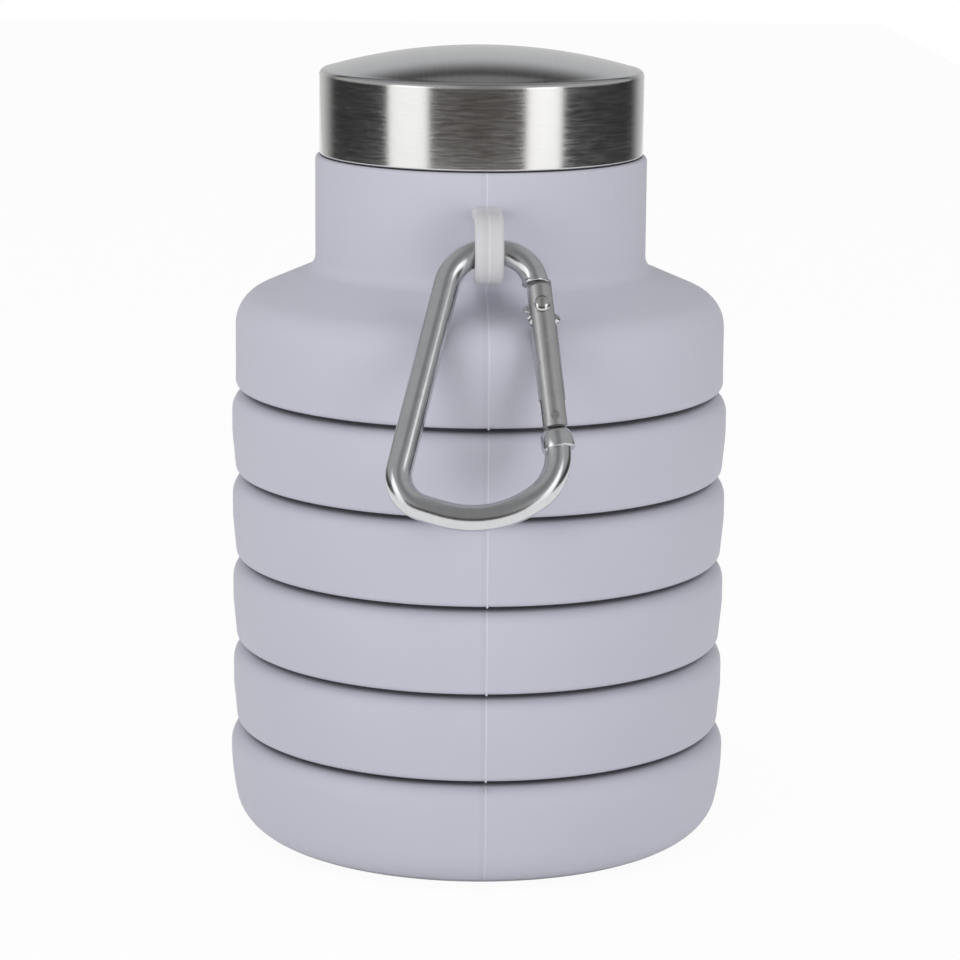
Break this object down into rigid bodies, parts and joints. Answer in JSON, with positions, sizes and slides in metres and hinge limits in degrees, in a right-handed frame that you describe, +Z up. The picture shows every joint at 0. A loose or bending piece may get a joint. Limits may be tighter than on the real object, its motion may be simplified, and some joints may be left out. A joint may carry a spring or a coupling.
{
  "type": "folding water bottle",
  "caption": "Collapsible water bottle stored folded: ribbed soft bellows body, narrow neck, domed metal screw lid, and a soft neck loop that carries a small sprung snap hook.",
  "frame": {"origin": "on the bottle's axis in the plane it stands on, at the centre of the base's pad", "axes": "+Z up along the bottle's axis to the lid, -Y to the side with the loop and the hook, +X to the side of the hook's gate"},
  "size_m": [0.075, 0.0895, 0.1185],
  "materials": {
    "silicone": "matte lilac-grey moulded silicone",
    "loop_silicone": "semi-clear light grey silicone",
    "gasket_silicone": "semi-clear silicone",
    "inner_plastic": "grey polypropylene",
    "steel": "brushed stainless sheet",
    "aluminium": "polished and tumbled",
    "pin_steel": "bright steel wire"
  },
  "bodies": {
    "base": {"base_cup": "silicone", "fold_web_5": "silicone"},
    "band_4_body": {"band_4": "silicone", "fold_web_4": "silicone"},
    "band_3_body": {"band_3": "silicone", "fold_web_3": "silicone"},
    "band_2_body": {"band_2": "silicone", "fold_web_2": "silicone"},
    "band_1_body": {"band_1": "silicone", "fold_web_1": "silicone"},
    "shoulder_body": {"shoulder": "silicone", "neck_collar": "inner_plastic", "carabiner_loop": "loop_silicone"},
    "lid_carrier": {"lid_gasket": "gasket_silicone"},
    "lid": {"lid_shell": "steel", "lid_liner": "inner_plastic"},
    "hook": {"hook_frame": "aluminium"},
    "gate_body": {"gate": "aluminium", "hinge_rivet": "pin_steel", "latch_pin": "pin_steel", "gate_spring": "pin_steel"},
    "plunger": {"spring_plunger": "pin_steel"}
  },
  "joints": [
    {"name": "fold_5", "type": "slide", "parent": "base", "child": "band_4_body", "axis": [0, 0, 1], "range_m": [0, 0.016], "deforming": ["fold_web_5"]},
    {"name": "fold_4", "type": "slide", "parent": "band_4_body", "child": "band_3_body", "axis": [0, 0, 1], "range_m": [0, 0.016], "deforming": ["fold_web_4"]},
    {"name": "fold_3", "type": "slide", "parent": "band_3_body", "child": "band_2_body", "axis": [0, 0, 1], "range_m": [0, 0.016], "deforming": ["fold_web_3"]},
    {"name": "fold_2", "type": "slide", "parent": "band_2_body", "child": "band_1_body", "axis": [0, 0, 1], "range_m": [0, 0.016], "deforming": ["fold_web_2"]},
    {"name": "fold_1", "type": "slide", "parent": "band_1_body", "child": "shoulder_body", "axis": [0, 0, 1], "range_m": [0, 0.016], "deforming": ["fold_web_1"]},
    {"name": "lid_rise", "type": "slide", "parent": "shoulder_body", "child": "lid_carrier", "axis": [0, 0, 1], "range_m": [0, 0.0101]},
    {"name": "lid_turn", "type": "hinge", "parent": "lid_carrier", "child": "lid", "pos_m": [0, 0, 0.109], "axis": [0, 0, 1], "range_deg": [0, 900]},
    {"name": "hook_swing", "type": "hinge", "parent": "shoulder_body", "child": "hook", "pos_m": [0, -0.0303, 0.09271], "axis": [-1, 0, 0], "range_deg": [0, 150]},
    {"name": "gate_swing", "type": "hinge", "parent": "hook", "child": "gate_body", "pos_m": [0.0073, -0.03501, 0.08499], "axis": [0, 0.8704, -0.4924], "range_deg": [0, 28], "stiffness_Nm_per_rad": 0.02, "springref_deg": -20.05, "deforming": ["gate_spring"]},
    {"name": "plunger_slide", "type": "slide", "parent": "gate_body", "child": "plunger", "axis": [0.0924, -0.4903, -0.8666], "range_m": [0, 0.0006]}
  ],
  "couplings": [
    {"joint": "lid_rise", "follows": "lid_turn", "m_per_rad": 0.00063662},
    {"joint": "plunger_slide", "follows": "gate_swing", "m_per_rad": 0.00102}
  ]
}
